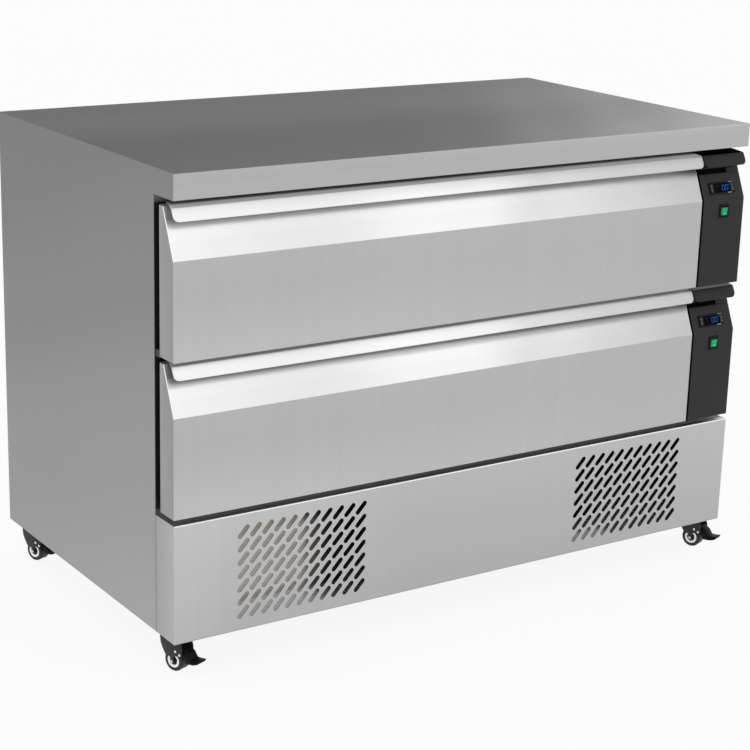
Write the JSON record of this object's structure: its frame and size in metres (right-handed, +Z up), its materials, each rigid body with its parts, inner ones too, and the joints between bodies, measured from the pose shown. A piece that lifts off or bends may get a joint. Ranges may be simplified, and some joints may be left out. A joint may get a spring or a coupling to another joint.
{
  "type": "refrigerated drawer counter",
  "caption": "Low stainless steel refrigerated counter with wide drawers under a flat worktop, sloped handle fronts, black control strip, slotted plinth and braked casters.",
  "frame": {"origin": "on the floor, under the centre of the counter", "axes": "+X along the width to the control strip's side, +Y from the drawers to the back, +Z up"},
  "size_m": [1.2572, 0.7133, 0.88],
  "materials": {
    "stainless_steel": "brushed",
    "slide_steel": "satin",
    "foam_body": "satin lining over foam",
    "door_seal": "matt",
    "panel_plastic": "fine texture",
    "black_plastic": "gloss",
    "key_plastic": "satin",
    "green_lens": "lit",
    "caster_plastic": "satin",
    "wheel_rubber": "matt",
    "compressor_shell": "satin",
    "condenser_coil": "dusty",
    "cold_coil": "satin",
    "fan_plastic": "satin"
  },
  "bodies": {
    "cabinet": {"worktop": "stainless_steel", "left_side_panel": "stainless_steel", "right_side_panel": "stainless_steel", "back_panel": "stainless_steel", "plinth_panel": "stainless_steel", "plinth_left_cheek": "stainless_steel", "plinth_right_cheek": "stainless_steel", "base_tray": "stainless_steel", "insulated_body": "foam_body", "cable_gland": "black_plastic", "upper_left_slide_rail": "slide_steel", "upper_right_slide_rail": "slide_steel", "upper_control_panel": "panel_plastic", "upper_thermostat": "black_plastic", "upper_switch_body": "black_plastic", "upper_evaporator": "cold_coil", "lower_left_slide_rail": "slide_steel", "lower_right_slide_rail": "slide_steel", "lower_control_panel": "panel_plastic", "lower_thermostat": "black_plastic", "lower_switch_body": "black_plastic", "lower_evaporator": "cold_coil", "left_condenser": "condenser_coil", "left_compressor": "compressor_shell", "right_condenser": "condenser_coil", "right_compressor": "compressor_shell"},
    "upper_drawer": {"upper_drawer_front": "stainless_steel", "upper_drawer_inner_panel": "foam_body", "upper_drawer_gasket": "door_seal", "upper_drawer_box": "stainless_steel"},
    "upper_left_slide_member": {"upper_left_slide_middle": "slide_steel"},
    "upper_right_slide_member": {"upper_right_slide_middle": "slide_steel"},
    "upper_left_key_strip": {"upper_left_keys": "key_plastic"},
    "upper_right_key_strip": {"upper_right_keys": "key_plastic"},
    "upper_rocker": {"upper_power_rocker": "green_lens"},
    "upper_evaporator_rotor": {"upper_evaporator_fan": "fan_plastic"},
    "lower_drawer": {"lower_drawer_front": "stainless_steel", "lower_drawer_inner_panel": "foam_body", "lower_drawer_gasket": "door_seal", "lower_drawer_box": "stainless_steel"},
    "lower_left_slide_member": {"lower_left_slide_middle": "slide_steel"},
    "lower_right_slide_member": {"lower_right_slide_middle": "slide_steel"},
    "lower_left_key_strip": {"lower_left_keys": "key_plastic"},
    "lower_right_key_strip": {"lower_right_keys": "key_plastic"},
    "lower_rocker": {"lower_power_rocker": "green_lens"},
    "lower_evaporator_rotor": {"lower_evaporator_fan": "fan_plastic"},
    "left_condenser_rotor": {"left_condenser_fan": "fan_plastic"},
    "right_condenser_rotor": {"right_condenser_fan": "fan_plastic"},
    "front_left_fork": {"front_left_caster_fork": "caster_plastic"},
    "front_left_wheel": {"front_left_caster_wheel": "wheel_rubber"},
    "front_left_pedal": {"front_left_brake_pedal": "caster_plastic"},
    "front_right_fork": {"front_right_caster_fork": "caster_plastic"},
    "front_right_wheel": {"front_right_caster_wheel": "wheel_rubber"},
    "front_right_pedal": {"front_right_brake_pedal": "caster_plastic"},
    "back_left_fork": {"back_left_caster_fork": "caster_plastic"},
    "back_left_wheel": {"back_left_caster_wheel": "wheel_rubber"},
    "back_left_pedal": {"back_left_brake_pedal": "caster_plastic"},
    "back_right_fork": {"back_right_caster_fork": "caster_plastic"},
    "back_right_wheel": {"back_right_caster_wheel": "wheel_rubber"},
    "back_right_pedal": {"back_right_brake_pedal": "caster_plastic"}
  },
  "joints": [
    {"name": "upper_drawer_slide", "type": "slide", "parent": "cabinet", "child": "upper_drawer", "axis": [0, -1, 0], "range_m": [0, 0.46]},
    {"name": "upper_left_slide_travel", "type": "slide", "parent": "cabinet", "child": "upper_left_slide_member", "axis": [0, -1, 0], "range_m": [0, 0.23]},
    {"name": "upper_right_slide_travel", "type": "slide", "parent": "cabinet", "child": "upper_right_slide_member", "axis": [0, -1, 0], "range_m": [0, 0.23]},
    {"name": "upper_left_key_press", "type": "slide", "parent": "cabinet", "child": "upper_left_key_strip", "axis": [0, 0.9197, -0.3927], "range_m": [0, 0.0005], "stiffness_N_per_m": 400},
    {"name": "upper_right_key_press", "type": "slide", "parent": "cabinet", "child": "upper_right_key_strip", "axis": [0, 0.9197, -0.3927], "range_m": [0, 0.0005], "stiffness_N_per_m": 400},
    {"name": "upper_rocker_tilt", "type": "hinge", "parent": "cabinet", "child": "upper_rocker", "pos_m": [0.5735, -0.35, 0.713], "axis": [1, 0, 0], "range_deg": [-14, 0]},
    {"name": "upper_evaporator_fan_spin", "type": "hinge", "parent": "cabinet", "child": "upper_evaporator_rotor", "pos_m": [0.186, 0.2847, 0.673], "axis": [0, 1, 0], "continuous": true},
    {"name": "lower_drawer_slide", "type": "slide", "parent": "cabinet", "child": "lower_drawer", "axis": [0, -1, 0], "range_m": [0, 0.46]},
    {"name": "lower_left_slide_travel", "type": "slide", "parent": "cabinet", "child": "lower_left_slide_member", "axis": [0, -1, 0], "range_m": [0, 0.23]},
    {"name": "lower_right_slide_travel", "type": "slide", "parent": "cabinet", "child": "lower_right_slide_member", "axis": [0, -1, 0], "range_m": [0, 0.23]},
    {"name": "lower_left_key_press", "type": "slide", "parent": "cabinet", "child": "lower_left_key_strip", "axis": [0, 0.9197, -0.3927], "range_m": [0, 0.0005], "stiffness_N_per_m": 400},
    {"name": "lower_right_key_press", "type": "slide", "parent": "cabinet", "child": "lower_right_key_strip", "axis": [0, 0.9197, -0.3927], "range_m": [0, 0.0005], "stiffness_N_per_m": 400},
    {"name": "lower_rocker_tilt", "type": "hinge", "parent": "cabinet", "child": "lower_rocker", "pos_m": [0.5735, -0.35, 0.448], "axis": [1, 0, 0], "range_deg": [-14, 0]},
    {"name": "lower_evaporator_fan_spin", "type": "hinge", "parent": "cabinet", "child": "lower_evaporator_rotor", "pos_m": [0.186, 0.2847, 0.4], "axis": [0, 1, 0], "continuous": true},
    {"name": "left_condenser_fan_spin", "type": "hinge", "parent": "cabinet", "child": "left_condenser_rotor", "pos_m": [-0.35, -0.1905, 0.1343], "axis": [0, 1, 0], "continuous": true},
    {"name": "right_condenser_fan_spin", "type": "hinge", "parent": "cabinet", "child": "right_condenser_rotor", "pos_m": [0.33, 0.0395, 0.1343], "axis": [0, 1, 0], "continuous": true},
    {"name": "front_left_swivel", "type": "hinge", "parent": "cabinet", "child": "front_left_fork", "pos_m": [-0.599, -0.298, 0.06], "axis": [0, 0, 1], "continuous": true},
    {"name": "front_left_wheel_spin", "type": "hinge", "parent": "front_left_fork", "child": "front_left_wheel", "pos_m": [-0.59578, -0.3064, 0.02], "axis": [0.9336, 0.3584, 0], "continuous": true},
    {"name": "front_left_brake_press", "type": "hinge", "parent": "front_left_fork", "child": "front_left_pedal", "pos_m": [-0.58968, -0.32227, 0.04], "axis": [0.9336, 0.3584, 0], "range_deg": [0, 14]},
    {"name": "front_right_swivel", "type": "hinge", "parent": "cabinet", "child": "front_right_fork", "pos_m": [0.599, -0.298, 0.06], "axis": [0, 0, 1], "continuous": true},
    {"name": "front_right_wheel_spin", "type": "hinge", "parent": "front_right_fork", "child": "front_right_wheel", "pos_m": [0.60223, -0.3064, 0.02], "axis": [0.9336, 0.3584, 0], "continuous": true},
    {"name": "front_right_brake_press", "type": "hinge", "parent": "front_right_fork", "child": "front_right_pedal", "pos_m": [0.60832, -0.32227, 0.04], "axis": [0.9336, 0.3584, 0], "range_deg": [0, 14]},
    {"name": "back_left_swivel", "type": "hinge", "parent": "cabinet", "child": "back_left_fork", "pos_m": [-0.599, 0.29, 0.06], "axis": [0, 0, 1], "continuous": true},
    {"name": "back_left_wheel_spin", "type": "hinge", "parent": "back_left_fork", "child": "back_left_wheel", "pos_m": [-0.59578, 0.2816, 0.02], "axis": [0.9336, 0.3584, 0], "continuous": true},
    {"name": "back_left_brake_press", "type": "hinge", "parent": "back_left_fork", "child": "back_left_pedal", "pos_m": [-0.58968, 0.26573, 0.04], "axis": [0.9336, 0.3584, 0], "range_deg": [0, 14]},
    {"name": "back_right_swivel", "type": "hinge", "parent": "cabinet", "child": "back_right_fork", "pos_m": [0.599, 0.29, 0.06], "axis": [0, 0, 1], "continuous": true},
    {"name": "back_right_wheel_spin", "type": "hinge", "parent": "back_right_fork", "child": "back_right_wheel", "pos_m": [0.60223, 0.2816, 0.02], "axis": [0.9336, 0.3584, 0], "continuous": true},
    {"name": "back_right_brake_press", "type": "hinge", "parent": "back_right_fork", "child": "back_right_pedal", "pos_m": [0.60832, 0.26573, 0.04], "axis": [0.9336, 0.3584, 0], "range_deg": [0, 14]}
  ],
  "couplings": [
    {"joint": "upper_left_slide_travel", "follows": "upper_drawer_slide", "ratio": 0.5},
    {"joint": "upper_right_slide_travel", "follows": "upper_drawer_slide", "ratio": 0.5},
    {"joint": "lower_left_slide_travel", "follows": "lower_drawer_slide", "ratio": 0.5},
    {"joint": "lower_right_slide_travel", "follows": "lower_drawer_slide", "ratio": 0.5}
  ]
}
